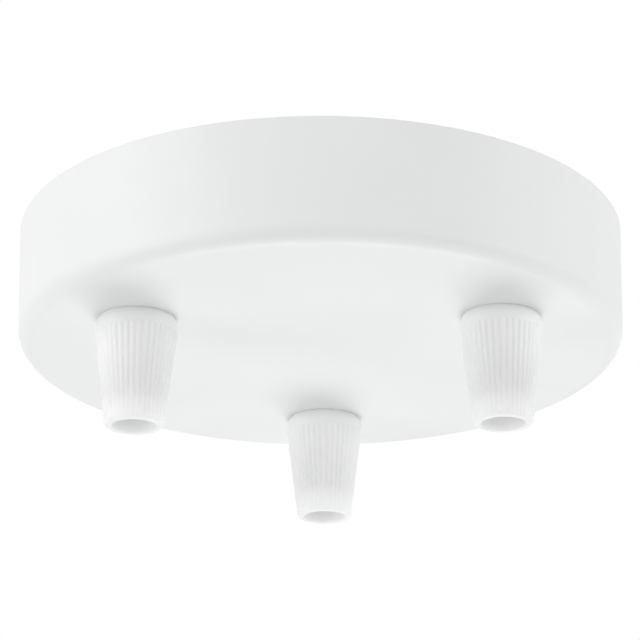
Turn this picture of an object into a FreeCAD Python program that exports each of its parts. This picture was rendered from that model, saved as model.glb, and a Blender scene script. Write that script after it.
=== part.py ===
import FreeCAD, Part
import math
import os
import re

import Sketcher

# A ceiling rose for three pendant cords: a shallow pressed steel canopy that a
# bracket and two side screws hold to the ceiling, a terminal block inside, and
# three cord grips that hang from the canopy's face.
# The ceiling plane is z = 0 and the rose hangs below it, with z up.

doc = FreeCAD.newDocument("ceiling_rose")
sheet = doc.addObject("Spreadsheet::Sheet", "Sizes")

# Driving sizes in millimetres.
SIZES = (
    # canopy
    ("rim_radius", 60.0),
    ("canopy_height", 23.5),
    ("canopy_draft", 0.5),
    ("canopy_wall", 0.8),
    ("bend_radius", 3.3),
    # places of the three cord outlets
    ("outlet_inset", 20.0),
    ("outlet_clearance", 0.2),
    # ceiling bracket
    ("strap_width", 20.0),
    ("strap_thickness", 2.0),
    ("strap_bend", 1.0),
    ("ear_gap", 1.1),
    ("ear_width", 12.0),
    ("ear_corner", 3.5),
    ("ear_screw_rise", 11.5),
    ("neck_length", 8.1),
    ("slot_radius", 2.25),
    ("slot_end_margin", 15.1),
    ("slot_block_margin", 1.8),
    ("side_screw_radius", 2.0),
    ("side_screw_length", 6.0),
    ("side_screw_clearance", 0.15),
    ("side_screw_inset", 0.15),
    ("side_socket_flats", 2.0),
    ("side_socket_depth", 2.2),
    ("screw_chamfer", 0.4),
    # terminal block
    ("pole_pitch", 10.0),
    ("pole_gap", 1.6),
    ("block_depth", 16.0),
    ("block_height", 10.2),
    ("slab_thickness", 3.0),
    ("slab_depth", 10.0),
    ("slab_corner", 2.5),
    ("tab_length", 7.0),
    ("channel_drop", 5.6),
    ("insert_radius", 2.6),
    ("insert_bore", 1.7),
    ("insert_inset", 1.0),
    ("screw_spread", 3.8),
    ("turret_radius", 3.3),
    ("turret_bore", 2.15),
    ("turret_height", 3.6),
    ("terminal_screw_radius", 1.5),
    ("terminal_head_radius", 2.0),
    ("terminal_head_height", 1.8),
    ("terminal_head_drop", 0.6),
    ("block_screw_radius", 1.5),
    ("block_head_radius", 2.75),
    ("block_head_height", 1.8),
    # earth terminal
    ("earth_screw_radius", 2.0),
    ("earth_head_radius", 3.8),
    ("earth_head_height", 2.4),
    ("earth_washer_radius", 4.5),
    ("earth_washer_thickness", 1.2),
    ("earth_washer_rim", 0.6),
    ("screw_tip_gap", 0.2),
    ("head_slot_width", 0.8),
    ("head_slot_depth", 0.9),
    # cord grips
    ("thread_radius", 5.0),
    ("thread_clearance", 0.05),
    ("thread_chamfer", 0.5),
    ("stem_wall", 1.25),
    ("stem_spare", 1.9),
    ("flange_width", 1.2),
    ("flange_thickness", 1.2),
    ("flange_clearance", 0.15),
    ("washer_thickness", 0.8),
    ("washer_clearance", 0.15),
    ("washer_width", 2.5),
    ("washer_tooth", 1.1),
    ("nut_wall", 2.0),
    ("nut_thickness", 3.0),
    ("nut_chamfer", 0.3),
    ("cap_length", 21.5),
    ("cap_base_wall", 3.2),
    ("cap_tip_wall", 1.45),
    ("cap_base_rounding", 0.35),
    ("cap_tip_rounding", 0.9),
    ("exit_radius", 4.1),
    ("exit_length", 3.5),
    ("exit_rounding", 0.25),
    ("taper_length", 7.5),
    ("rib_depth", 0.22),
    ("rib_start", 3.0),
    ("rib_tip_margin", 1.5),
    ("collet_bore", 3.1),
    ("collet_length", 7.5),
    ("collet_rim", 0.8),
    ("collet_clearance", 0.08),
    ("collet_play", 0.2),
    ("collet_slit", 0.8),
    ("collet_band", 2.0),
)

WASHER_TEETH = 12
COLLET_SLIT_PLANES = ("XZ_Plane", "YZ_Plane")
RIB_COUNT = 40
# the part of each rib's pitch that a groove takes
GROOVE_SHARE = 0.46

# The outlets are spaced evenly. The rear one is furthest from the viewer, at +Y.
FIRST_OUTLET_ANGLE = 90
OUTLET_NAMES = ("rear", "left", "right")
OUTLET_ANGLE_STEP = 360 // len(OUTLET_NAMES)
OUTLETS = [(name, FIRST_OUTLET_ANGLE + OUTLET_ANGLE_STEP * index) for index, name in enumerate(OUTLET_NAMES)]

for row, (name, value) in enumerate(SIZES, start=1):
    sheet.set(f"A{row}", name)
    sheet.set(f"B{row}", str(value))
    sheet.setAlias(f"B{row}", name)
doc.recompute()

ALIASES = {name for name, value in SIZES}

# Levels and reaches that several pieces share, as formulas on the sheet's sizes.
FACE = "(-canopy_height)"
INNER_FACE = "(canopy_wall - canopy_height)"
FACE_RADIUS = "(rim_radius - canopy_draft)"
OUTLET_CIRCLE = "(rim_radius - outlet_inset)"
EAR_REACH = "(rim_radius - canopy_wall - ear_gap)"
EAR_SCREW = "(ear_screw_rise - canopy_height)"
NECK_START = f"({EAR_REACH} - neck_length)"
POLE_PLACES = ("-pole_pitch", "0", "pole_pitch")
BLOCK_HALF = "(pole_pitch + (pole_pitch - pole_gap) / 2 + tab_length)"
SLOT_OUTER = f"({EAR_REACH} - slot_end_margin)"
SLOT_INNER = f"({BLOCK_HALF} + slot_block_margin)"
SLOT_CENTRE = f"(({SLOT_OUTER} + {SLOT_INNER}) / 2)"
SLOT_LENGTH = f"({SLOT_OUTER} - {SLOT_INNER})"
EARTH_PLACE = f"(({SLOT_OUTER} + {EAR_REACH} - strap_thickness - strap_bend) / 2)"
SLAB_BOTTOM = "(-strap_thickness - slab_thickness)"
POLE_BOTTOM = "(-strap_thickness - block_height)"
CHANNEL = "(-strap_thickness - channel_drop)"
BLOCK_SCREW_PLACE = f"({BLOCK_HALF} - tab_length / 2)"
NUT_FLATS = "(2 * (thread_radius + nut_wall))"
NUT_BOTTOM = f"({INNER_FACE} + washer_thickness)"
NUT_TOP = f"({NUT_BOTTOM} + nut_thickness)"
FLANGE_RADIUS = "(thread_radius + flange_width)"
COUNTERBORE = f"({FLANGE_RADIUS} + flange_clearance)"
FLANGE_BOTTOM = f"({FACE} - flange_thickness)"
CAP_BORE = "(thread_radius + thread_clearance)"
CAP_BASE_RADIUS = "(thread_radius + cap_base_wall)"
CAP_TIP_RADIUS = "(exit_radius + cap_tip_wall)"
CAP_TIP = f"({FACE} - cap_length)"
TAPER_BOTTOM = f"({CAP_TIP} + exit_length)"
TAPER_TOP = f"({TAPER_BOTTOM} + taper_length)"
COLLET_TOP = f"({TAPER_TOP} + collet_rim)"
COLLET_BOTTOM = f"({COLLET_TOP} - collet_length)"
STEM_BOTTOM = f"({COLLET_TOP} + collet_play)"
STEM_TOP = f"({NUT_TOP} + stem_spare)"


def on_sheet(formula):
    """The formula with the sheet's name put before each of its sizes."""
    return re.sub(r"[a-z_]+", lambda word: "Sizes." + word[0] if word[0] in ALIASES else word[0], formula)


def number(formula):
    return float(sheet.evalExpression(on_sheet(formula)))


def bind(thing, target, formula):
    thing.setExpression(target, on_sheet(formula))


def new_body(label):
    body = doc.addObject("PartDesign::Body", label)
    body.Label = label
    return body


def sketch_on(body, name, role, lift=None):
    """A sketch on one of the body's own planes, lifted along the plane's normal if asked."""
    sketch = body.newObject("Sketcher::SketchObject", name)
    plane = next(item for item in body.Origin.OriginFeatures if item.Role == role)
    sketch.AttachmentSupport = (plane, "")
    sketch.MapMode = "FlatFace"
    if lift:
        bind(sketch, "AttachmentOffset.Base.z", lift)
    return sketch


def pin_point(sketch, edge, end, x, y):
    for way, formula in (("DistanceX", x), ("DistanceY", y)):
        index = sketch.addConstraint(Sketcher.Constraint(way, -1, 1, edge, end, number(formula)))
        bind(sketch, f"Constraints[{index}]", formula)


def add_outline(sketch, corners):
    """A closed outline of straight edges, each corner bound to a pair of formulas."""
    first = sketch.GeometryCount
    spots = [FreeCAD.Vector(number(x), number(y), 0) for x, y in corners]
    for index, spot in enumerate(spots):
        sketch.addGeometry(Part.LineSegment(spot, spots[(index + 1) % len(spots)]))
    for index in range(len(spots)):
        following = first + (index + 1) % len(spots)
        sketch.addConstraint(Sketcher.Constraint("Coincident", first + index, 2, following, 1))
    for index, (x, y) in enumerate(corners):
        pin_point(sketch, first + index, 1, x, y)


def add_rectangle(sketch, left, right, low, high):
    add_outline(sketch, [(left, low), (right, low), (right, high), (left, high)])


def add_circle(sketch, x, y, radius):
    centre = FreeCAD.Vector(number(x), number(y), 0)
    edge = sketch.addGeometry(Part.Circle(centre, FreeCAD.Vector(0, 0, 1), number(radius)))
    pin_point(sketch, edge, 3, x, y)
    index = sketch.addConstraint(Sketcher.Constraint("Radius", edge, number(radius)))
    bind(sketch, f"Constraints[{index}]", radius)


def add_hexagon(sketch, across_flats):
    corner = f"({across_flats}) / 2 / cos(30 deg)"
    turns = range(30, 390, 60)
    add_outline(sketch, [(f"{corner} * cos({turn} deg)", f"{corner} * sin({turn} deg)") for turn in turns])


def add_slot(sketch, x, half_length, radius):
    """A slot along x with its middle at (x, 0): two half circles joined by tangent edges."""
    up = FreeCAD.Vector(0, 0, 1)
    reach = number(half_length) - number(radius)
    width = number(radius)
    middle = number(x)
    ends = []
    for side, start in ((-1, math.pi / 2), (1, -math.pi / 2)):
        circle = Part.Circle(FreeCAD.Vector(middle + side * reach, 0, 0), up, width)
        ends.append(sketch.addGeometry(Part.ArcOfCircle(circle, start, start + math.pi)))
    low_left = FreeCAD.Vector(middle - reach, -width, 0)
    low_right = FreeCAD.Vector(middle + reach, -width, 0)
    high_right = FreeCAD.Vector(middle + reach, width, 0)
    high_left = FreeCAD.Vector(middle - reach, width, 0)
    low = sketch.addGeometry(Part.LineSegment(low_left, low_right))
    high = sketch.addGeometry(Part.LineSegment(high_right, high_left))
    left, right = ends
    sketch.addConstraint(Sketcher.Constraint("Tangent", left, 2, low, 1))
    sketch.addConstraint(Sketcher.Constraint("Tangent", low, 2, right, 1))
    sketch.addConstraint(Sketcher.Constraint("Tangent", right, 2, high, 1))
    sketch.addConstraint(Sketcher.Constraint("Tangent", high, 2, left, 1))
    pin_point(sketch, left, 3, f"{x} - ({half_length} - {radius})", "0")
    pin_point(sketch, right, 3, f"{x} + ({half_length} - {radius})", "0")
    index = sketch.addConstraint(Sketcher.Constraint("Radius", left, width))
    bind(sketch, f"Constraints[{index}]", radius)


def revolve(body, sketch):
    turned = body.newObject("PartDesign::Revolution", sketch.Name + "_turned")
    turned.Profile = (sketch, [""])
    turned.ReferenceAxis = (sketch, ["V_Axis"])
    turned.Angle = 360
    doc.recompute()
    return turned


def groove(body, sketch):
    turned = body.newObject("PartDesign::Groove", sketch.Name + "_turned")
    turned.Profile = (sketch, [""])
    turned.ReferenceAxis = (sketch, ["V_Axis"])
    turned.Angle = 360
    doc.recompute()
    return turned


def pad(body, sketch, length, symmetric=False, down=False):
    raised = body.newObject("PartDesign::Pad", sketch.Name + "_pad")
    raised.Profile = (sketch, [""])
    raised.SideType = "Symmetric" if symmetric else "One side"
    raised.Reversed = down
    bind(raised, "Length", length)
    doc.recompute()
    return raised


def pocket(body, sketch, depth=None, up=False):
    """A cut through everything both ways, or of one depth down from the sketch, or up."""
    cut = body.newObject("PartDesign::Pocket", sketch.Name + "_cut")
    cut.Profile = (sketch, [""])
    if depth:
        cut.Type = "Length"
        cut.Reversed = up
        bind(cut, "Length", depth)
    else:
        cut.Type = "ThroughAll"
        cut.SideType = "Symmetric"
    doc.recompute()
    return cut


def round_edges(body, name, radius, wanted):
    """A fillet on the edges of the body's tip that the given test picks."""
    tip = body.Tip
    picked = [f"Edge{index}" for index, edge in enumerate(tip.Shape.Edges, start=1) if wanted(edge)]
    rounding = body.newObject("PartDesign::Fillet", name)
    rounding.Base = (tip, picked)
    bind(rounding, "Radius", radius)
    doc.recompute()
    return rounding


def circle_edge(radius, level):
    """A test for a full circle about z of this radius at this level."""
    wanted_radius = number(radius)
    wanted_level = number(level)

    def test(edge):
        curve = edge.Curve
        if not isinstance(curve, Part.Circle):
            return False
        about_axis = math.hypot(curve.Center.x, curve.Center.y) < 1e-6
        right_size = abs(curve.Radius - wanted_radius) < 1e-4
        return about_axis and right_size and abs(curve.Center.z - wanted_level) < 1e-4

    return test


def line_edge(way, where=lambda middle: True):
    """A test for a straight edge along this direction whose middle passes another test."""

    def test(edge):
        if not isinstance(edge.Curve, Part.Line):
            return False
        along = abs(edge.tangentAt(edge.FirstParameter).dot(way)) > 0.999
        return along and where(edge.CenterOfMass)

    return test


def pattern(body, feature, axis_role, count):
    """The feature repeated evenly about one of the body's own axes."""
    copies = body.newObject("PartDesign::PolarPattern", feature.Name + "_copies")
    axis = next(item for item in body.Origin.OriginFeatures if item.Role == axis_role)
    copies.Originals = [feature]
    copies.Axis = (axis, [""])
    copies.Angle = 360
    copies.Occurrences = count
    body.Tip = copies
    doc.recompute()
    return copies


def make_twin(label, original):
    """A second piece of the same shape, which follows the original but has a place of its own."""
    body = new_body(label)
    base = body.newObject("PartDesign::FeatureBase", label + "_base")
    base.BaseFeature = original
    body.Tip = base
    return body


def place(thing, x="0", y="0", z="0"):
    bind(thing, "Placement.Base.x", x)
    bind(thing, "Placement.Base.y", y)
    bind(thing, "Placement.Base.z", z)


def place_at_outlet(thing, angle):
    place(thing, f"{OUTLET_CIRCLE} * cos({angle} deg)", f"{OUTLET_CIRCLE} * sin({angle} deg)")


X_WAY = FreeCAD.Vector(1, 0, 0)
Z_WAY = FreeCAD.Vector(0, 0, 1)


def make_canopy():
    """A pressed cup: drafted side, rounded bend, three cord holes and two holes for side screws."""
    body = new_body("canopy")
    section = sketch_on(body, "canopy_section", "XZ_Plane")
    corners = [
        ("0", FACE),
        (FACE_RADIUS, FACE),
        ("rim_radius", "0"),
        ("rim_radius - canopy_wall", "0"),
        (f"{FACE_RADIUS} - canopy_wall", INNER_FACE),
        ("0", INNER_FACE),
    ]
    add_outline(section, corners)
    revolve(body, section)
    round_edges(body, "outer_bend", "bend_radius", circle_edge(FACE_RADIUS, FACE))
    inner_edge = circle_edge(f"{FACE_RADIUS} - canopy_wall", INNER_FACE)
    round_edges(body, "inner_bend", "bend_radius - canopy_wall", inner_edge)
    outlets = sketch_on(body, "outlet_holes", "XY_Plane")
    for name, angle in OUTLETS:
        x = f"{OUTLET_CIRCLE} * cos({angle} deg)"
        y = f"{OUTLET_CIRCLE} * sin({angle} deg)"
        add_circle(outlets, x, y, "thread_radius + outlet_clearance")
    pocket(body, outlets)
    sides = sketch_on(body, "side_holes", "YZ_Plane")
    add_circle(sides, "0", EAR_SCREW, "side_screw_radius + side_screw_clearance")
    pocket(body, sides)
    return body


def make_bracket():
    """A steel strap across the ceiling with two slots, and an ear turned down at each end."""
    body = new_body("ceiling_bracket")
    section = sketch_on(body, "strap_section", "XZ_Plane")
    ear_bottom = f"({EAR_SCREW} - ear_width / 2)"
    inner = f"({EAR_REACH} - strap_thickness)"
    corners = [
        (f"-{EAR_REACH}", ear_bottom),
        (f"-{inner}", ear_bottom),
        (f"-{inner}", "-strap_thickness"),
        (inner, "-strap_thickness"),
        (inner, ear_bottom),
        (EAR_REACH, ear_bottom),
        (EAR_REACH, "0"),
        (f"-{EAR_REACH}", "0"),
    ]
    add_outline(section, corners)
    pad(body, section, "strap_width", symmetric=True)
    across = FreeCAD.Vector(0, 1, 0)
    inner_place = number(inner)
    outer_place = number(EAR_REACH)
    inner_level = -number("strap_thickness")

    def inner_corner(middle):
        return abs(abs(middle.x) - inner_place) < 1e-4 and abs(middle.z - inner_level) < 1e-4

    def outer_corner(middle):
        return abs(abs(middle.x) - outer_place) < 1e-4 and abs(middle.z) < 1e-4

    round_edges(body, "inner_bends", "strap_bend", line_edge(across, inner_corner))
    round_edges(body, "outer_bends", "strap_bend + strap_thickness", line_edge(across, outer_corner))
    blank = sketch_on(body, "neck_cuts", "XY_Plane")
    past_end = f"({EAR_REACH} + strap_width)"
    past_side = "strap_width"
    for left, right in ((f"-{past_end}", f"-{NECK_START}"), (NECK_START, past_end)):
        add_rectangle(blank, left, right, "ear_width / 2", past_side)
        add_rectangle(blank, left, right, f"-{past_side}", "-ear_width / 2")
    pocket(body, blank)
    low_level = number(ear_bottom)

    def ear_corner(middle):
        return abs(middle.z - low_level) < 1e-4

    round_edges(body, "ear_corners", "min(ear_corner; 0.48 * ear_width)", line_edge(X_WAY, ear_corner))
    holes = sketch_on(body, "strap_holes", "XY_Plane")
    add_circle(holes, f"-{EARTH_PLACE}", "0", "earth_screw_radius")
    add_circle(holes, f"-{BLOCK_SCREW_PLACE}", "0", "block_screw_radius")
    add_circle(holes, BLOCK_SCREW_PLACE, "0", "block_screw_radius")
    pocket(body, holes)
    slots = sketch_on(body, "fixing_slots", "XY_Plane")
    add_slot(slots, f"-{SLOT_CENTRE}", f"{SLOT_LENGTH} / 2", "slot_radius")
    add_slot(slots, SLOT_CENTRE, f"{SLOT_LENGTH} / 2", "slot_radius")
    pocket(body, slots)
    ear_holes = sketch_on(body, "ear_holes", "YZ_Plane")
    add_circle(ear_holes, "0", EAR_SCREW, "side_screw_radius")
    pocket(body, ear_holes)
    return body


def make_side_screw(label):
    """A headless screw, along z with its outer end at the origin."""
    body = new_body(label)
    section = sketch_on(body, label + "_section", "XZ_Plane")
    inner_end = "(-side_screw_length)"
    corners = [
        ("0", "0"),
        ("side_screw_radius - screw_chamfer", "0"),
        ("side_screw_radius", "-screw_chamfer"),
        ("side_screw_radius", f"{inner_end} + screw_chamfer"),
        ("side_screw_radius - screw_chamfer", inner_end),
        ("0", inner_end),
    ]
    add_outline(section, corners)
    revolve(body, section)
    socket = sketch_on(body, label + "_socket", "XY_Plane")
    add_hexagon(socket, "side_socket_flats")
    pocket(body, socket, "side_socket_depth")
    return body


def place_side_screw(screw, side):
    """In the bracket's ear, wound out into the hole in the canopy's side."""
    turn = FreeCAD.Rotation(FreeCAD.Vector(0, 1, 0), 90 * side)
    screw.Placement = FreeCAD.Placement(FreeCAD.Vector(), turn)
    wall = f"(rim_radius - canopy_draft * (-{EAR_SCREW}) / canopy_height)"
    place(screw, f"{side} * ({wall} - side_screw_inset)", "0", EAR_SCREW)


def make_terminal_block():
    """A three-pole moulding: slab with end tabs, pole housings, wire channels and screw turrets."""
    body = new_body("terminal_block")
    pole_half = "((pole_pitch - pole_gap) / 2)"
    slab = sketch_on(body, "slab", "XY_Plane", "-strap_thickness")
    add_rectangle(slab, f"-{BLOCK_HALF}", BLOCK_HALF, "-slab_depth / 2", "slab_depth / 2")
    pad(body, slab, "slab_thickness", down=True)
    round_edges(body, "slab_corners", "min(slab_corner; 0.48 * slab_depth)", line_edge(Z_WAY))
    poles = sketch_on(body, "poles", "XY_Plane", "-strap_thickness")
    for place_x in POLE_PLACES:
        left = f"{place_x} - {pole_half}"
        right = f"{place_x} + {pole_half}"
        add_rectangle(poles, left, right, "-block_depth / 2", "block_depth / 2")
    pad(body, poles, "block_height", down=True)
    for name, row in (("front", "-screw_spread"), ("back", "screw_spread")):
        turrets = sketch_on(body, name + "_turrets", "XY_Plane", POLE_BOTTOM)
        for place_x in POLE_PLACES:
            add_circle(turrets, place_x, row, f"min(turret_radius; {pole_half})")
        pad(body, turrets, "turret_height", down=True)
    channels = sketch_on(body, "channels", "XZ_Plane")
    for place_x in POLE_PLACES:
        add_circle(channels, place_x, CHANNEL, "insert_radius")
    pocket(body, channels)
    for name, row in (("front", "-screw_spread"), ("back", "screw_spread")):
        bores = sketch_on(body, name + "_turret_bores", "XY_Plane", CHANNEL)
        for place_x in POLE_PLACES:
            add_circle(bores, place_x, row, "turret_bore")
        pocket(body, bores, "block_height + turret_height")
    fixings = sketch_on(body, "tab_holes", "XY_Plane")
    add_circle(fixings, f"-{BLOCK_SCREW_PLACE}", "0", "block_screw_radius")
    add_circle(fixings, BLOCK_SCREW_PLACE, "0", "block_screw_radius")
    pocket(body, fixings)
    return body


def make_insert(label):
    """A brass tube in one wire channel, with two threaded holes from below."""
    body = new_body(label)
    ring = sketch_on(body, label + "_ring", "XZ_Plane")
    add_circle(ring, "0", CHANNEL, "insert_radius")
    add_circle(ring, "0", CHANNEL, "insert_bore")
    pad(body, ring, "block_depth - 2 * insert_inset", symmetric=True)
    holes = sketch_on(body, label + "_screw_holes", "XY_Plane", CHANNEL)
    for row in ("-screw_spread", "screw_spread"):
        add_circle(holes, "0", row, "terminal_screw_radius")
    pocket(body, holes, "2 * insert_radius")
    return body


def make_screw(name, radius, tip, seat, head_radius, head_height, x, y):
    """A slotted screw that points up: shank from its seat to its tip, head below the seat."""
    shank = doc.addObject("Part::Cylinder", name + "_shank")
    bind(shank, "Radius", radius)
    bind(shank, "Height", f"{tip} - {seat}")
    place(shank, x, y, seat)
    head = doc.addObject("Part::Cylinder", name + "_head")
    bind(head, "Radius", head_radius)
    bind(head, "Height", head_height)
    place(head, x, y, f"{seat} - {head_height}")
    blank = doc.addObject("Part::Fuse", name + "_blank")
    blank.Base = shank
    blank.Tool = head
    slot = doc.addObject("Part::Box", name + "_slot")
    bind(slot, "Length", "head_slot_width")
    bind(slot, "Width", f"3 * {head_radius}")
    bind(slot, "Height", "head_slot_depth")
    place(slot, f"{x} - head_slot_width / 2", f"{y} - 1.5 * {head_radius}", f"{seat} - {head_height}")
    screw = doc.addObject("Part::Cut", name)
    screw.Base = blank
    screw.Tool = slot
    return screw


def make_terminal_screws():
    screws = []
    bottom = f"({POLE_BOTTOM} - terminal_head_drop)"
    for column, x in enumerate(POLE_PLACES):
        for row, y in enumerate(("-screw_spread", "screw_spread")):
            name = f"terminal_screw_{column}{row}"
            screws.append(
                make_screw(name, "terminal_screw_radius", CHANNEL, bottom,
                           "terminal_head_radius", "terminal_head_height", x, y)
            )
    group = doc.addObject("Part::Compound", "terminal_screws")
    group.Links = screws
    return group


def make_block_screws():
    screws = []
    for side, x in (("left", f"-{BLOCK_SCREW_PLACE}"), ("right", BLOCK_SCREW_PLACE)):
        screws.append(
            make_screw(f"block_screw_{side}", "block_screw_radius", "(-screw_tip_gap)", SLAB_BOTTOM,
                       "block_head_radius", "block_head_height", x, "0")
        )
    group = doc.addObject("Part::Compound", "block_screws")
    group.Links = screws
    return group


def make_earth_screw():
    seat = "(-strap_thickness - earth_washer_thickness)"
    screw = make_screw("earth_screw", "earth_screw_radius", "(-screw_tip_gap)", seat,
                       "earth_head_radius", "earth_head_height", f"(-{EARTH_PLACE})", "0")
    return screw


def make_earth_washer():
    """A cup washer that keeps the earth wire under the screw's head."""
    body = new_body("earth_washer")
    section = sketch_on(body, "earth_washer_section", "XZ_Plane")
    top = "(-strap_thickness)"
    bottom = "(-strap_thickness - earth_washer_thickness)"
    rim_inner = "(earth_washer_radius - earth_washer_rim)"
    corners = [
        ("earth_screw_radius", bottom),
        ("earth_washer_radius", bottom),
        ("earth_washer_radius", top),
        (rim_inner, top),
        (rim_inner, f"({top} + {bottom}) / 2"),
        ("earth_screw_radius", f"({top} + {bottom}) / 2"),
    ]
    add_outline(section, corners)
    revolve(body, section)
    place(body, f"-{EARTH_PLACE}")
    return body


def make_grip_stem(label):
    """A hollow threaded stem through the canopy's face, with a flange outside."""
    body = new_body(label)
    section = sketch_on(body, label + "_section", "XZ_Plane")
    bore = "(thread_radius - stem_wall)"
    tip_radius = "(thread_radius - thread_chamfer)"
    corners = [
        (bore, STEM_TOP),
        (tip_radius, STEM_TOP),
        ("thread_radius", f"{STEM_TOP} - thread_chamfer"),
        ("thread_radius", FACE),
        (FLANGE_RADIUS, FACE),
        (FLANGE_RADIUS, FLANGE_BOTTOM),
        ("thread_radius", FLANGE_BOTTOM),
        ("thread_radius", f"{STEM_BOTTOM} + thread_chamfer"),
        (tip_radius, STEM_BOTTOM),
        (bore, STEM_BOTTOM),
    ]
    add_outline(section, corners)
    revolve(body, section)
    return body


def make_lock_washer(label):
    """A flat washer with teeth round its edge, under the nut."""
    body = new_body(label)
    ring = sketch_on(body, label + "_ring", "XY_Plane", INNER_FACE)
    inner = "(thread_radius + washer_clearance)"
    outer = f"({inner} + washer_width)"
    add_circle(ring, "0", "0", outer)
    add_circle(ring, "0", "0", inner)
    pad(body, ring, "washer_thickness")
    notch = sketch_on(body, label + "_notch", "XY_Plane")
    half = f"({outer} * {math.pi / WASHER_TEETH / 2:.4f})"
    add_rectangle(notch, f"{outer} - washer_tooth", f"{outer} + washer_tooth", f"-{half}", half)
    pattern(body, pocket(body, notch), "Z_Axis", WASHER_TEETH)
    return body


def make_lock_nut(label):
    """A thin hexagon nut with chamfered corners, on the stem inside the canopy."""
    body = new_body(label)
    blank = sketch_on(body, label + "_hexagon", "XY_Plane", NUT_BOTTOM)
    add_hexagon(blank, NUT_FLATS)
    pad(body, blank, "nut_thickness")
    bore = sketch_on(body, label + "_bore", "XY_Plane")
    add_circle(bore, "0", "0", "thread_radius")
    pocket(body, bore)
    face_radius = f"({NUT_FLATS} / 2 - nut_chamfer)"
    past = NUT_FLATS
    rise = f"(({past} - {face_radius}) * tan(30 deg))"
    for name, level, way in (("top", NUT_TOP, "-"), ("bottom", NUT_BOTTOM, "+")):
        chamfer = sketch_on(body, f"{label}_{name}_chamfer", "XZ_Plane")
        corners = [(face_radius, level), (past, level), (past, f"{level} {way} {rise}")]
        add_outline(chamfer, corners)
        groove(body, chamfer)
    return body


def make_collet(label):
    """A slit sleeve that the cap's taper closes on the cord."""
    body = new_body(label)
    section = sketch_on(body, label + "_section", "XZ_Plane")
    top_radius = f"({CAP_BORE} - collet_clearance)"
    share = f"(({COLLET_BOTTOM} - {TAPER_BOTTOM}) / taper_length)"
    bottom_radius = f"(exit_radius + ({CAP_BORE} - exit_radius) * {share} - collet_clearance)"
    corners = [
        ("collet_bore", COLLET_TOP),
        (top_radius, COLLET_TOP),
        (top_radius, TAPER_TOP),
        (bottom_radius, COLLET_BOTTOM),
        ("collet_bore", COLLET_BOTTOM),
    ]
    add_outline(section, corners)
    revolve(body, section)
    for role in COLLET_SLIT_PLANES:
        slit = sketch_on(body, f"{label}_slit_{role[:2].lower()}", role)
        low = f"{COLLET_BOTTOM} - collet_slit"
        add_rectangle(slit, "-collet_slit / 2", "collet_slit / 2", low, f"{COLLET_TOP} - collet_band")
        pocket(body, slit)
    return body


def add_groove_section(sketch, level_below_face):
    """The triangle that a groove takes out at one level. It shrinks with the cone, so the sides stay flat."""
    slope = f"(({CAP_BASE_RADIUS} - {CAP_TIP_RADIUS}) / cap_length)"
    radius = f"({CAP_BASE_RADIUS} - {slope} * {level_below_face})"
    depth = f"(rib_depth * {radius} / {CAP_BASE_RADIUS})"
    half = f"({radius} * {GROOVE_SHARE * math.pi / RIB_COUNT:.5f})"
    corners = [
        (f"{radius} - {depth}", "0"),
        (f"{radius} + {depth}", f"-2 * {half}"),
        (f"{radius} + {depth}", f"2 * {half}"),
    ]
    add_outline(sketch, corners)


def make_grip_cap(label):
    """A tapered screw cap with a plain band, forty fine ribs and a rounded cord exit."""
    body = new_body(label)
    section = sketch_on(body, label + "_section", "XZ_Plane")
    shoulder = f"({FLANGE_BOTTOM} - collet_play)"
    corners = [
        (COUNTERBORE, FACE),
        (CAP_BASE_RADIUS, FACE),
        (CAP_TIP_RADIUS, CAP_TIP),
        ("exit_radius", CAP_TIP),
        ("exit_radius", TAPER_BOTTOM),
        (CAP_BORE, TAPER_TOP),
        (CAP_BORE, shoulder),
        (COUNTERBORE, shoulder),
    ]
    add_outline(section, corners)
    revolve(body, section)
    base_rounding = f"min(cap_base_rounding; 0.8 * ({CAP_BASE_RADIUS} - {COUNTERBORE}))"
    round_edges(body, label + "_shoulder", base_rounding, circle_edge(CAP_BASE_RADIUS, FACE))
    tip_rounding = "min(cap_tip_rounding; 0.7 * cap_tip_wall)"
    round_edges(body, label + "_tip", tip_rounding, circle_edge(CAP_TIP_RADIUS, CAP_TIP))
    lip_rounding = "min(exit_rounding; 0.2 * cap_tip_wall)"
    round_edges(body, label + "_lip", lip_rounding, circle_edge("exit_radius", CAP_TIP))
    rib_stop = "(cap_length - rib_tip_margin)"
    high = sketch_on(body, label + "_groove_top", "XY_Plane", f"{FACE} - rib_start")
    add_groove_section(high, "rib_start")
    low = sketch_on(body, label + "_groove_bottom", "XY_Plane", f"{FACE} - {rib_stop}")
    add_groove_section(low, rib_stop)
    flute = body.newObject("PartDesign::SubtractiveLoft", label + "_groove")
    flute.Profile = (high, [""])
    flute.Sections = [low]
    flute.Ruled = True
    doc.recompute()
    pattern(body, flute, "Z_Axis", RIB_COUNT)
    return body


pieces = [make_canopy(), make_bracket()]

side_screw = make_side_screw("side_screw_left")
twin_screw = make_twin("side_screw_right", side_screw)
for screw, side in ((side_screw, -1), (twin_screw, 1)):
    place_side_screw(screw, side)
    pieces.append(screw)

pieces.append(make_terminal_block())
insert = make_insert("insert_left")
inserts = [insert, make_twin("insert_middle", insert), make_twin("insert_right", insert)]
for piece, place_x in zip(inserts, POLE_PLACES):
    place(piece, place_x)
pieces += inserts
pieces += [make_terminal_screws(), make_block_screws(), make_earth_screw(), make_earth_washer()]

GRIP_MAKERS = (
    ("grip_stem", make_grip_stem),
    ("lock_washer", make_lock_washer),
    ("lock_nut", make_lock_nut),
    ("collet", make_collet),
    ("grip_cap", make_grip_cap),
)
for kind, maker in GRIP_MAKERS:
    first_name = OUTLETS[0][0]
    original = maker(f"{kind}_{first_name}")
    place_at_outlet(original, OUTLETS[0][1])
    pieces.append(original)
    for name, angle in OUTLETS[1:]:
        twin = make_twin(f"{kind}_{name}", original)
        place_at_outlet(twin, angle)
        pieces.append(twin)
doc.recompute()


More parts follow.
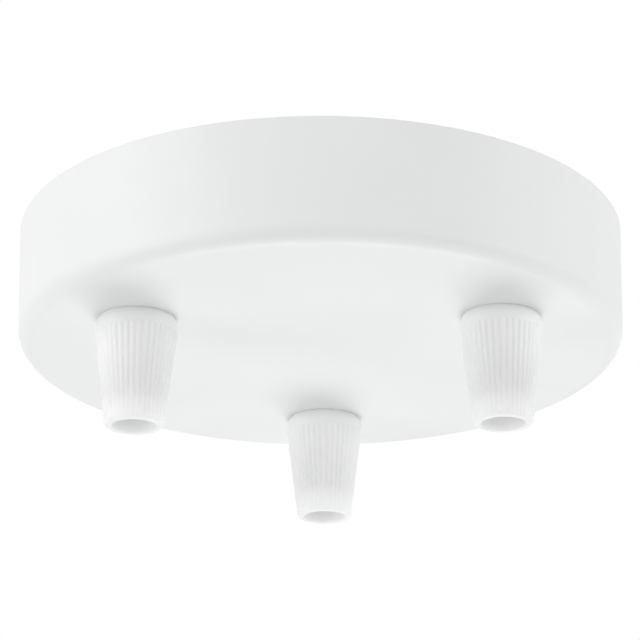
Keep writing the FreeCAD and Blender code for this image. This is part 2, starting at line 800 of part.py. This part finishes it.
def check_model():
    """Stops if an object failed, a shape is not sound, or a cut took nothing away."""
    for item in doc.Objects:
        if "Invalid" in item.State or "Error" in item.State:
            raise RuntimeError(f"{item.Name} failed: {item.State}")
        if item.TypeId in ("PartDesign::Pocket", "PartDesign::Groove", "PartDesign::SubtractiveLoft"):
            if item.Shape.Volume >= item.BaseFeature.Shape.Volume - 1e-6:
                raise RuntimeError(f"{item.Name} cuts nothing")
    for piece in pieces:
        if piece.Shape.isNull() or not piece.Shape.isValid():
            raise RuntimeError(f"{piece.Label} has no sound shape")


check_model()
os.makedirs("parts", exist_ok=True)
for piece in pieces:
    piece.Shape.exportStep(f"parts/{piece.Label}.step")
    print(f"{piece.Label}: {len(piece.Shape.Solids)} solid(s), {piece.Shape.Volume:.1f} mm3")
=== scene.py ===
import math

import bmesh
import bpy
from mathutils import Matrix, Quaternion, Vector


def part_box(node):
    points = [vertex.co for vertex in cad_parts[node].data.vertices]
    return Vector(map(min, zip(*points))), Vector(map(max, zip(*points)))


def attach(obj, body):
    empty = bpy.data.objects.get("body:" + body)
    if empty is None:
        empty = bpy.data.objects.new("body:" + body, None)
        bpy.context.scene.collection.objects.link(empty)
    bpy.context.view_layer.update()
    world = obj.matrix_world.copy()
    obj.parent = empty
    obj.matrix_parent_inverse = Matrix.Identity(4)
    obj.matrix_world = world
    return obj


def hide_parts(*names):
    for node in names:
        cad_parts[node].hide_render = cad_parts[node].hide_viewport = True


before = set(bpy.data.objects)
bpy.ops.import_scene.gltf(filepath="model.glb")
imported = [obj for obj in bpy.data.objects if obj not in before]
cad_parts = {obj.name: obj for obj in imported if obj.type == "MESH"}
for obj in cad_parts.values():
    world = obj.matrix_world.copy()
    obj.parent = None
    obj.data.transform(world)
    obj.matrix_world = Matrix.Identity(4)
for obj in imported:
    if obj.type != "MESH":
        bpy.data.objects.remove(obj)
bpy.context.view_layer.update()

# The object's sizes are in millimetres, and MM turns them into metres.
MM = 0.001
OUTLET_RADIUS = 40.0
OUTLETS = (("rear", 90), ("left", 210), ("right", 330))

# Levels of a cord grip, from the ceiling plane down.
STEM_TOP = -17.0
NUT_TOP = -18.9
NUT_BOTTOM = -21.9
FACE = -23.5
FLANGE_BOTTOM = -24.7
COUNTERBORE_BOTTOM = -24.9
STEM_BOTTOM = -33.0
CAP_BORE_BOTTOM = -34.0
TAPER_BOTTOM = -41.5
CAP_TIP = -45.0

# Threads: pitch, outer radius and how deep they are cut.
GRIP_PITCH = 1.0
GRIP_THREAD = 5.0
GRIP_THREAD_DEPTH = 0.56
THREAD_PLAY = 0.04
SCREW_PITCH = 0.7
SCREW_THREAD = 2.0
SCREW_THREAD_DEPTH = 0.38

# How finely the meshes are made: points round a piece, points that merge, edges that count as sharp.
COLUMNS = 96
CAP_RIBS = 40
COLUMNS_PER_RIB = 8
MERGE_DISTANCE = 0.002
SHORTEST_EDGE = 0.0005
SHARP_ANGLE = 35


class Skin:
    """A closed skin about z, made of rings that each hold one point per column."""

    def __init__(self, columns):
        self.columns = columns
        self.mesh = bmesh.new()
        self.first = None
        self.last = None

    def angle(self, index):
        return 2 * math.pi * index / self.columns

    def point(self, index, radius, level):
        x = radius * math.cos(self.angle(index)) * MM
        y = radius * math.sin(self.angle(index)) * MM
        return self.mesh.verts.new((x, y, level * MM))

    def ring(self, radius, level):
        """The next ring. Radius and level are numbers, or functions of the column's angle."""
        row = []
        for index in range(self.columns):
            angle = self.angle(index)
            reach = radius(angle) if callable(radius) else radius
            height = level(angle) if callable(level) else level
            row.append(self.point(index, reach, height))
        if self.last:
            self.join(self.last, row)
        self.last = row
        if not self.first:
            self.first = row

    def rings(self, section):
        """A ring for each pair of radius and level."""
        for radius, level in section:
            self.ring(radius, level)

    def join(self, upper, lower):
        for index in range(self.columns):
            following = (index + 1) % self.columns
            self.mesh.faces.new((upper[index], lower[index], lower[following], upper[following]))

    def thread(self, start, stop, crest, root, pitch):
        """A right-hand screw thread from one level to another. It runs out to the root at both ends."""
        high = max(start, stop)
        low = min(start, stop)
        # one turn's section: a narrow crest, a flank down, a wider root and a flank back up
        section = ((0.0, crest), (0.125, crest), (0.4375, root), (0.6875, root))
        first_turn = math.floor(low / pitch) - 1
        last_turn = math.ceil(high / pitch) + 1
        spots = [(turn + share, radius) for turn in range(first_turn, last_turn) for share, radius in section]
        if stop < start:
            spots.reverse()
        run_out = abs(crest - root)
        rows = []
        for turns, radius in spots:
            row = []
            for index in range(self.columns + 1):
                level = (turns + index / self.columns) * pitch
                level = min(max(level, low), high)
                allowed = min(level - low, high - level, run_out)
                reach = root + math.copysign(min(abs(radius - root), allowed), crest - root)
                row.append(self.point(index, reach, level))
            rows.append(row)
        for upper, lower in zip(rows, rows[1:]):
            for index in range(self.columns):
                self.mesh.faces.new((upper[index], lower[index], lower[index + 1], upper[index + 1]))
        self.last = None
        self.ring(root, stop)

    def close(self):
        """Joins the last ring to the first and returns the finished mesh."""
        self.join(self.last, self.first)
        return self.finish()

    def finish(self):
        bmesh.ops.remove_doubles(self.mesh, verts=self.mesh.verts, dist=MERGE_DISTANCE * MM)
        bmesh.ops.dissolve_degenerate(self.mesh, edges=self.mesh.edges, dist=SHORTEST_EDGE * MM)
        bmesh.ops.recalc_face_normals(self.mesh, faces=self.mesh.faces)
        return self.mesh


def rounding(centre_radius, centre_level, size, start, stop, steps):
    """Radius and level of the points along a rounding's section, from one angle to another in degrees."""
    for step in range(steps + 1):
        angle = math.radians(start + (stop - start) * step / steps)
        yield centre_radius + size * math.cos(angle), centre_level + size * math.sin(angle)


def hexagon(apothem):
    """A hexagon's outline, as its distance from the axis at each angle."""
    def outline(angle):
        offset = (angle % math.radians(60)) - math.radians(30)
        return apothem / math.cos(offset)

    return outline


def add_piece(name, mesh, place, body, node, material):
    """An object from a finished mesh, in its place, riding on its body and standing for its node."""
    mesh.transform(place)
    data = bpy.data.meshes.new(name)
    mesh.to_mesh(data)
    mesh.free()
    for face in data.polygons:
        face.use_smooth = True
    data.set_sharp_from_angle(angle=math.radians(SHARP_ANGLE))
    piece = bpy.data.objects.new(name, data)
    bpy.context.scene.collection.objects.link(piece)
    data.materials.append(material)
    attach(piece, body)
    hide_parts(node)


# Materials

class Recipe:
    """A node material with helpers for the patterns that the finishes share."""

    def __init__(self, name):
        self.material = bpy.data.materials.new(name)
        self.material.use_nodes = True
        self.nodes = self.material.node_tree.nodes
        self.links = self.material.node_tree.links
        self.shader = self.nodes["Principled BSDF"]
        self.place = self.nodes.new("ShaderNodeTexCoord").outputs["Object"]

    def add(self, kind, **settings):
        node = self.nodes.new(kind)
        for key, value in settings.items():
            setattr(node, key, value)
        return node

    def stretched(self, x, y, z):
        """The object's own coordinates times a factor along each axis."""
        mapping = self.add("ShaderNodeMapping")
        mapping.inputs["Scale"].default_value = (x, y, z)
        self.links.new(self.place, mapping.inputs["Vector"])
        return mapping.outputs["Vector"]

    def noise(self, scale, detail=3.0, roughness=0.5, vector=None):
        """A noise value whose scale is in spots per millimetre."""
        texture = self.add("ShaderNodeTexNoise")
        texture.inputs["Scale"].default_value = scale / MM
        texture.inputs["Detail"].default_value = detail
        texture.inputs["Roughness"].default_value = roughness
        self.links.new(vector or self.place, texture.inputs["Vector"])
        return texture.outputs["Fac"]

    def spread(self, value, low, high, from_low=0.0, from_high=1.0):
        """A value's range from from_low to from_high, spread over another range."""
        remap = self.add("ShaderNodeMapRange")
        remap.inputs["From Min"].default_value = from_low
        remap.inputs["From Max"].default_value = from_high
        remap.inputs["To Min"].default_value = low
        remap.inputs["To Max"].default_value = high
        self.links.new(value, remap.inputs["Value"])
        return remap.outputs["Result"]

    def vary(self, noise, low=0.0, high=1.0, noise_low=0.35, noise_high=0.65):
        """A value that follows a noise from low to high, given the range that most of the noise fills."""
        return self.spread(noise, low, high, noise_low, noise_high)

    def math(self, operation, first, second):
        node = self.add("ShaderNodeMath", operation=operation)
        for socket, value in zip(node.inputs, (first, second)):
            if isinstance(value, (int, float)):
                socket.default_value = value
            else:
                self.links.new(value, socket)
        return node.outputs["Value"]

    def mix(self, share, first, second):
        """A colour between two, each a triple or another colour's output."""
        node = self.add("ShaderNodeMix", data_type="RGBA")
        self.links.new(share, node.inputs[0])
        for socket, value in ((node.inputs[6], first), (node.inputs[7], second)):
            if isinstance(value, tuple):
                socket.default_value = (*value, 1.0)
            else:
                self.links.new(value, socket)
        return node.outputs[2]

    def set(self, **values):
        """Sets the shader's sockets, named with underscores, to numbers, triples or other outputs."""
        for name, value in values.items():
            socket = self.shader.inputs[name.replace("_", " ")]
            if isinstance(value, bpy.types.NodeSocket):
                self.links.new(value, socket)
            else:
                socket.default_value = value

    def bumps(self, *layers, bevel):
        """Bump layers of (height value, depth) on top of edges softened by a bevel, in millimetres."""
        edge = self.add("ShaderNodeBevel", samples=6)
        edge.inputs["Radius"].default_value = bevel * MM
        normal = edge.outputs["Normal"]
        for height, depth in layers:
            bump = self.add("ShaderNodeBump")
            bump.inputs["Strength"].default_value = 1.0
            bump.inputs["Distance"].default_value = depth * MM
            self.links.new(height, bump.inputs["Height"])
            self.links.new(normal, bump.inputs["Normal"])
            normal = bump.outputs["Normal"]
        self.links.new(normal, self.shader.inputs["Normal"])


def inward_share(recipe):
    """1 where the canopy's skin faces its own inside, and 0 outside."""
    outside_until = 0.3
    inside_from = 0.7
    geometry = recipe.add("ShaderNodeNewGeometry")
    to_axis = recipe.add("ShaderNodeVectorMath", operation="MULTIPLY")
    to_axis.inputs[1].default_value = (-1.0, -1.0, 0.0)
    recipe.links.new(recipe.place, to_axis.inputs[0])
    unit = recipe.add("ShaderNodeVectorMath", operation="NORMALIZE")
    recipe.links.new(to_axis.outputs["Vector"], unit.inputs[0])
    facing_axis = recipe.add("ShaderNodeVectorMath", operation="DOT_PRODUCT")
    recipe.links.new(geometry.outputs["Normal"], facing_axis.inputs[0])
    recipe.links.new(unit.outputs["Vector"], facing_axis.inputs[1])
    parts = recipe.add("ShaderNodeSeparateXYZ")
    recipe.links.new(geometry.outputs["Normal"], parts.inputs["Vector"])
    facing_up = parts.outputs["Z"]
    either = recipe.math("MAXIMUM", facing_axis.outputs["Value"], facing_up)
    return recipe.spread(either, 0.0, 1.0, outside_until, inside_from)


def white_powder_coat():
    """Satin white powder coat: faint orange peel, thinner and a little greyer inside."""
    coat_tones = (0.872, 0.882, 0.876), (0.888, 0.896, 0.89)
    thin_tones = (0.815, 0.822, 0.818), (0.85, 0.856, 0.852)
    recipe = Recipe("white_powder_coat")
    coat = recipe.mix(recipe.vary(recipe.noise(0.035, 4.0)), *coat_tones)
    mist = recipe.vary(recipe.noise(0.9, 4.0), noise_low=0.36, noise_high=0.64)
    thin = recipe.mix(mist, *thin_tones)
    peel = recipe.noise(0.75, 2.0)
    grain = recipe.noise(6.0, 2.0)
    recipe.set(
        Base_Color=recipe.mix(inward_share(recipe), coat, thin),
        Roughness=recipe.vary(recipe.noise(0.12, 3.0), 0.44, 0.54),
        Specular_IOR_Level=0.42,
    )
    recipe.bumps((peel, 0.006), (grain, 0.0008), bevel=0.12)
    return recipe.material


def white_nylon():
    """Natural white nylon. A little light goes through it, more at a grip's thin tip than at its base."""
    tones = (0.935, 0.94, 0.936), (0.95, 0.955, 0.95)
    thick_level = -24.0
    thin_level = -42.0
    through_thick = 0.25
    through_thin = 1.0
    rise = 1.5
    recipe = Recipe("white_nylon")
    parts = recipe.add("ShaderNodeSeparateXYZ")
    recipe.links.new(recipe.place, parts.inputs["Vector"])
    thinness = recipe.spread(parts.outputs["Z"], 0.0, 1.0, thick_level * MM, thin_level * MM)
    cloud = recipe.noise(0.12, 4.0)
    flow = recipe.noise(0.35, 3.0, vector=recipe.stretched(1.0, 1.0, 0.25))
    grain = recipe.noise(4.0, 2.0)
    recipe.set(
        Base_Color=recipe.mix(recipe.vary(cloud), *tones),
        Roughness=recipe.vary(flow, 0.38, 0.5),
        Subsurface_Weight=recipe.spread(recipe.math("POWER", thinness, rise), through_thick, through_thin),
        Subsurface_Radius=(1.0, 1.0, 1.0),
        Subsurface_Scale=4.5 * MM,
        Specular_IOR_Level=0.4,
    )
    recipe.bumps((flow, 0.002), (grain, 0.001), bevel=0.1)
    return recipe.material


def zinc_plated_steel(name, grain_stretch, edge):
    """Bright zinc on rolled steel: a fine grain along one way, cloudy passivation and edges softened by a
    bevel.
    """
    cool_tone = (0.60, 0.615, 0.64)
    warm_tone = (0.69, 0.69, 0.68)
    streak_tone = (0.52, 0.53, 0.55)
    recipe = Recipe(name)
    cloud = recipe.noise(0.16, 5.0, 0.6)
    grain = recipe.noise(2.2, 3.0, vector=recipe.stretched(*grain_stretch))
    dimples = recipe.noise(3.0, 3.0)
    tint = recipe.mix(recipe.vary(cloud, noise_low=0.36, noise_high=0.64), cool_tone, warm_tone)
    recipe.set(
        Base_Color=recipe.mix(recipe.vary(grain, 0.0, 0.35), tint, streak_tone),
        Metallic=1.0,
        Roughness=recipe.math("ADD", recipe.spread(grain, 0.0, 0.14), recipe.vary(cloud, 0.22, 0.4)),
    )
    recipe.bumps((grain, 0.004), (dimples, 0.0015), bevel=edge)
    return recipe.material


def cream_polyamide():
    """Matt cream moulding of the terminal block, with flow clouds and a fine spark-eroded skin."""
    tones = (0.78, 0.775, 0.735), (0.84, 0.835, 0.80)
    recipe = Recipe("cream_polyamide")
    cloud = recipe.noise(0.2, 4.0)
    skin = recipe.noise(3.5, 3.0, 0.6)
    recipe.set(
        Base_Color=recipe.mix(recipe.vary(cloud), *tones),
        Roughness=recipe.vary(cloud, 0.52, 0.64),
        Subsurface_Weight=0.15,
        Subsurface_Radius=(1.0, 0.95, 0.85),
        Subsurface_Scale=0.6 * MM,
    )
    recipe.bumps((skin, 0.004), bevel=0.2)
    return recipe.material


def turned_brass():
    """Brass with the fine rings of a lathe and slight tarnish."""
    clean_tone = (0.80, 0.62, 0.30)
    tarnished_tone = (0.62, 0.46, 0.21)
    recipe = Recipe("turned_brass")
    cloud = recipe.noise(0.5, 4.0)
    rings = recipe.noise(3.0, 2.0, vector=recipe.stretched(0.2, 2.0, 0.2))
    recipe.set(
        Base_Color=recipe.mix(recipe.vary(cloud, noise_high=0.68), clean_tone, tarnished_tone),
        Metallic=1.0,
        Roughness=recipe.vary(cloud, 0.22, 0.36, 0.3, 0.7),
    )
    recipe.bumps((rings, 0.003), bevel=0.08)
    return recipe.material


paint = white_powder_coat()
nylon = white_nylon()
strap_zinc = zinc_plated_steel("zinc_plated_strap", (0.06, 1.0, 1.0), 0.15)
screw_zinc = zinc_plated_steel("zinc_plated_screw", (1.0, 1.0, 0.3), 0.08)
cream = cream_polyamide()
brass = turned_brass()

NODE_FINISHES = (
    (paint, ("canopy",)),
    (strap_zinc, ("ceiling_bracket",)),
    (screw_zinc, ("terminal_screws", "block_screws", "earth_screw", "earth_washer")),
    (screw_zinc, ("lock_washer_rear", "lock_washer_left", "lock_washer_right")),
    (cream, ("terminal_block",)),
    (brass, ("insert_left", "insert_middle", "insert_right")),
    (nylon, ("collet_rear", "collet_left", "collet_right")),
)
for material, nodes in NODE_FINISHES:
    for node in nodes:
        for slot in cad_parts[node].material_slots:
            slot.material = material


# Cord grips and side screws

def make_stem():
    """Hollow stem with a flange: threaded for the nut above the flange and for the cap below it."""
    root = GRIP_THREAD - GRIP_THREAD_DEPTH
    bore = 3.75
    chamfer = 0.2
    flange = 6.2
    upper_rounding = 0.15
    lower_rounding = 0.3
    skin = Skin(COLUMNS)
    skin.ring(bore, STEM_TOP - chamfer)
    skin.ring(bore + chamfer, STEM_TOP)
    skin.ring(root, STEM_TOP)
    skin.thread(STEM_TOP, FACE, GRIP_THREAD, root, GRIP_PITCH)
    skin.rings(rounding(flange - upper_rounding, FACE - upper_rounding, upper_rounding, 90, 0, 3))
    skin.rings(rounding(flange - lower_rounding, FLANGE_BOTTOM + lower_rounding, lower_rounding, 0, -90, 4))
    skin.ring(root, FLANGE_BOTTOM)
    skin.thread(FLANGE_BOTTOM, STEM_BOTTOM, GRIP_THREAD, root, GRIP_PITCH)
    skin.ring(bore + chamfer, STEM_BOTTOM)
    skin.ring(bore, STEM_BOTTOM + chamfer)
    return skin.close()


def make_nut():
    """Thin hexagon nut with chamfered corners and the stem's thread inside."""
    apothem = 7.0
    chamfer_circle = 6.7
    slope = math.tan(math.radians(30))
    major = GRIP_THREAD + THREAD_PLAY
    minor = major - GRIP_THREAD_DEPTH
    outline = hexagon(apothem)

    def upper(angle):
        return NUT_TOP - (outline(angle) - chamfer_circle) * slope

    def lower(angle):
        return NUT_BOTTOM + (outline(angle) - chamfer_circle) * slope

    skin = Skin(COLUMNS)
    skin.ring(major, NUT_TOP)
    skin.ring(chamfer_circle, NUT_TOP)
    skin.ring(outline, upper)
    skin.ring(outline, lower)
    skin.ring(chamfer_circle, NUT_BOTTOM)
    skin.ring(major, NUT_BOTTOM)
    skin.thread(NUT_BOTTOM, NUT_TOP, minor, major, GRIP_PITCH)
    return skin.finish()


def make_cap():
    """Tapered screw cap with a plain band and a cord exit. Its soft ribs run out in the tip's rounding."""
    base = 8.2
    tip = 5.55
    length = FACE - CAP_TIP
    lean = math.atan((base - tip) / length)
    counterbore = 6.35
    counterbore_chamfer = 0.1
    shoulder = 3.2
    shoulder_start = 38
    tip_rounding = 0.9
    exit_radius = 4.1
    lip = 0.25
    rounding_steps = 8
    major = GRIP_THREAD + THREAD_PLAY
    minor = major - GRIP_THREAD_DEPTH
    rib_start = FACE - 3.0
    rib_full = rib_start - 0.35
    rib_stop = CAP_TIP + 0.3
    tip_fade = 0.6
    rib_depth = 0.22
    fade_steps = 3
    middle_steps = 8
    # a valley's section is a cosine, lifted so that it takes more of the pitch than the rib does
    lift = 0.35
    flatness = 0.8

    def cone(level):
        return base - (base - tip) * (FACE - level) / length

    def ribbed(plain, level):
        """The outline at one level, cut by a rounded valley between each two ribs."""
        fade_in = max(0.0, (rib_start - level) / (rib_start - rib_full))
        fade_out = max(0.0, (level - rib_stop) / tip_fade)
        depth = rib_depth * min(1.0, fade_in, fade_out) * plain / base

        def radius(angle):
            phase = (angle * CAP_RIBS / (2 * math.pi)) % 1.0
            valley = max(0.0, math.cos(2 * math.pi * (phase - 0.5)) + lift) / (1 + lift)
            return plain - depth * valley ** flatness

        return radius

    skin = Skin(CAP_RIBS * COLUMNS_PER_RIB)
    skin.ring(counterbore, COUNTERBORE_BOTTOM)
    skin.ring(counterbore, FACE - counterbore_chamfer)
    skin.ring(counterbore + counterbore_chamfer, FACE)
    # the shoulder leaves the face at an angle, and both roundings meet the cone at a tangent
    cone_angle = -math.degrees(lean)
    shoulder_level = FACE - shoulder * math.sin(math.radians(shoulder_start))
    centre = cone(shoulder_level - shoulder * math.sin(lean)) - shoulder * math.cos(lean)
    skin.rings(rounding(centre, shoulder_level, shoulder, shoulder_start, cone_angle, rounding_steps))
    cone_end = CAP_TIP + tip_rounding * (1 - math.sin(lean))
    levels = [rib_start + (rib_full - rib_start) * step / fade_steps for step in range(fade_steps + 1)]
    levels += [rib_full + (cone_end - rib_full) * step / middle_steps for step in range(1, middle_steps)]
    skin.rings((ribbed(cone(level), level), level) for level in levels)
    tip_centre = tip - tip_rounding * math.tan(math.radians(45) - lean / 2)
    tip_level = CAP_TIP + tip_rounding
    tip_section = rounding(tip_centre, tip_level, tip_rounding, cone_angle, -90, rounding_steps)
    skin.rings((ribbed(radius, level), level) for radius, level in tip_section)
    skin.rings(rounding(exit_radius + lip, CAP_TIP + lip, lip, -90, -180, 4))
    skin.ring(exit_radius, TAPER_BOTTOM)
    skin.ring(major, CAP_BORE_BOTTOM)
    skin.thread(CAP_BORE_BOTTOM, COUNTERBORE_BOTTOM, minor, major, GRIP_PITCH)
    return skin.close()


def make_side_screw():
    """Headless screw along z, its outer end at the origin: thread, flat point and a hexagon socket."""
    length = 6.0
    chamfer = 0.12
    root = SCREW_THREAD - SCREW_THREAD_DEPTH
    socket_apothem = 1.0
    socket_depth = 2.2
    socket_mouth = 1.3
    drill_point = 0.4
    socket = hexagon(socket_apothem)
    skin = Skin(COLUMNS)
    skin.ring(0, -socket_depth - drill_point)
    skin.ring(socket_apothem, -socket_depth)
    skin.ring(socket, -socket_depth)
    skin.ring(socket, -chamfer)
    skin.ring(socket_mouth, 0)
    skin.ring(root, 0)
    skin.thread(0, -length, SCREW_THREAD, root, SCREW_PITCH)
    skin.ring(0, -length)
    return skin.finish()


for name, angle in OUTLETS:
    turn = math.radians(angle)
    reach = OUTLET_RADIUS * MM
    place = Matrix.Translation((reach * math.cos(turn), reach * math.sin(turn), 0))
    add_piece(f"threaded_stem_{name}", make_stem(), place, "rose", f"grip_stem_{name}",
              nylon)
    add_piece(f"threaded_nut_{name}", make_nut(), place, "rose", f"lock_nut_{name}",
              screw_zinc)
    add_piece(f"ribbed_cap_{name}", make_cap(), place, f"cap_body_{name}", f"grip_cap_{name}",
              nylon)

for name, side in (("left", -1), ("right", 1)):
    low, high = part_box(f"side_screw_{name}")
    outer_end = Matrix.Translation((high.x if side > 0 else low.x, 0, (low.z + high.z) / 2))
    place = outer_end @ Matrix.Rotation(side * math.pi / 2, 4, "Y")
    add_piece(f"threaded_side_screw_{name}", make_side_screw(), place, "rose", f"side_screw_{name}",
              screw_zinc)


# Studio, in metres. Each lamp has its name, place, width and power.

AMBIENT = 0.68
FLOOR_LEVEL = -1.1
FLOOR_REACH = 40.0
LIGHTS = (
    ("high_left", (-0.8, -0.5, 0.35), 0.6, 1.7),
    ("level_right", (1.0, -0.3, -0.02), 0.6, 2.7),
    ("low_left", (-0.9, -0.45, -0.25), 0.6, 2.15),
    ("behind_below", (0.05, 0.55, -0.75), 0.5, 2.55),
)
LIT_SPOT = Vector((0, 0, -0.02))


def build_world():
    """Even pale light on everything, and a white backdrop for what the camera and shiny parts see."""
    world = bpy.data.worlds.new("studio")
    bpy.context.scene.world = world
    world.use_nodes = True
    nodes = world.node_tree.nodes
    links = world.node_tree.links
    soft = nodes["Background"]
    soft.inputs["Color"].default_value = (0.99, 1.0, 0.99, 1.0)
    soft.inputs["Strength"].default_value = AMBIENT
    white = nodes.new("ShaderNodeBackground")
    white.inputs["Color"].default_value = (1.0, 1.0, 1.0, 1.0)
    white.inputs["Strength"].default_value = 1.0
    path = nodes.new("ShaderNodeLightPath")
    sees_white = path.outputs["Is Camera Ray"]
    for ray in ("Is Glossy Ray", "Is Transmission Ray"):
        either = nodes.new("ShaderNodeMath")
        either.operation = "MAXIMUM"
        links.new(sees_white, either.inputs[0])
        links.new(path.outputs[ray], either.inputs[1])
        sees_white = either.outputs["Value"]
    mix = nodes.new("ShaderNodeMixShader")
    links.new(sees_white, mix.inputs["Fac"])
    links.new(soft.outputs["Background"], mix.inputs[1])
    links.new(white.outputs["Background"], mix.inputs[2])
    links.new(mix.outputs["Shader"], nodes["World Output"].inputs["Surface"])


def build_floor():
    """A wide pale floor far below the rose."""
    tones = (0.86, 0.865, 0.87), (0.89, 0.89, 0.89)
    mesh = bmesh.new()
    bmesh.ops.create_grid(mesh, x_segments=8, y_segments=8, size=FLOOR_REACH)
    mesh.transform(Matrix.Translation((0, 0, FLOOR_LEVEL)))
    data = bpy.data.meshes.new("studio_floor")
    mesh.to_mesh(data)
    mesh.free()
    floor = bpy.data.objects.new("studio_floor", data)
    bpy.context.scene.collection.objects.link(floor)
    recipe = Recipe("pale_floor")
    cloud = recipe.noise(0.002, 3.0)
    recipe.set(
        Base_Color=recipe.mix(recipe.vary(cloud, noise_low=0.3, noise_high=0.7), *tones),
        Roughness=recipe.spread(cloud, 0.7, 0.85),
    )
    data.materials.append(recipe.material)


def build_lights():
    """Soft round lamps that point at the rose and that the camera doesn't see."""
    for name, place, width, power in LIGHTS:
        lamp = bpy.data.lights.new(name, "AREA")
        lamp.shape = "DISK"
        lamp.size = width
        lamp.energy = power
        holder = bpy.data.objects.new(name + "_light", lamp)
        holder.location = place
        holder.rotation_euler = (LIT_SPOT - Vector(place)).to_track_quat("-Z", "Y").to_euler()
        holder.visible_camera = False
        bpy.context.scene.collection.objects.link(holder)


# The camera was fitted to the photograph's outline. Its angles are in degrees.
CAMERA_AIM = Vector((0, 0, -12.5)) * MM
CAMERA_DISTANCE = 511.811 * MM
CAMERA_AZIMUTH = 1.1227
CAMERA_ELEVATION = -21.3866
CAMERA_PAN = 0.011
CAMERA_TILT = -0.3815
CAMERA_ROLL = 0.0071
FOCAL_PIXELS = 2568.22
PICTURE_PIXELS = 640
SENSOR_WIDTH = 36.0
NEAREST_SEEN = 0.01
FARTHEST_SEEN = 20.0


def build_camera():
    """The camera at the photograph's viewing angle."""
    azimuth = math.radians(CAMERA_AZIMUTH)
    elevation = math.radians(CAMERA_ELEVATION)
    back = Vector((
        math.sin(azimuth) * math.cos(elevation),
        -math.cos(azimuth) * math.cos(elevation),
        math.sin(elevation),
    ))
    turn = back.to_track_quat("Z", "Y")
    turn = turn @ Quaternion((0, 1, 0), math.radians(CAMERA_PAN))
    turn = turn @ Quaternion((1, 0, 0), math.radians(CAMERA_TILT))
    turn = turn @ Quaternion((0, 0, 1), -math.radians(CAMERA_ROLL))
    lens = bpy.data.cameras.new("camera")
    lens.sensor_width = SENSOR_WIDTH
    lens.lens = FOCAL_PIXELS / PICTURE_PIXELS * SENSOR_WIDTH
    lens.clip_start = NEAREST_SEEN
    lens.clip_end = FARTHEST_SEEN
    camera = bpy.data.objects.new("camera", lens)
    camera.location = CAMERA_AIM + back * CAMERA_DISTANCE
    camera.rotation_mode = "QUATERNION"
    camera.rotation_quaternion = turn
    bpy.context.scene.collection.objects.link(camera)
    bpy.context.scene.camera = camera


build_world()
build_floor()
build_lights()
build_camera()
bpy.context.scene.view_settings.view_transform = "Standard"
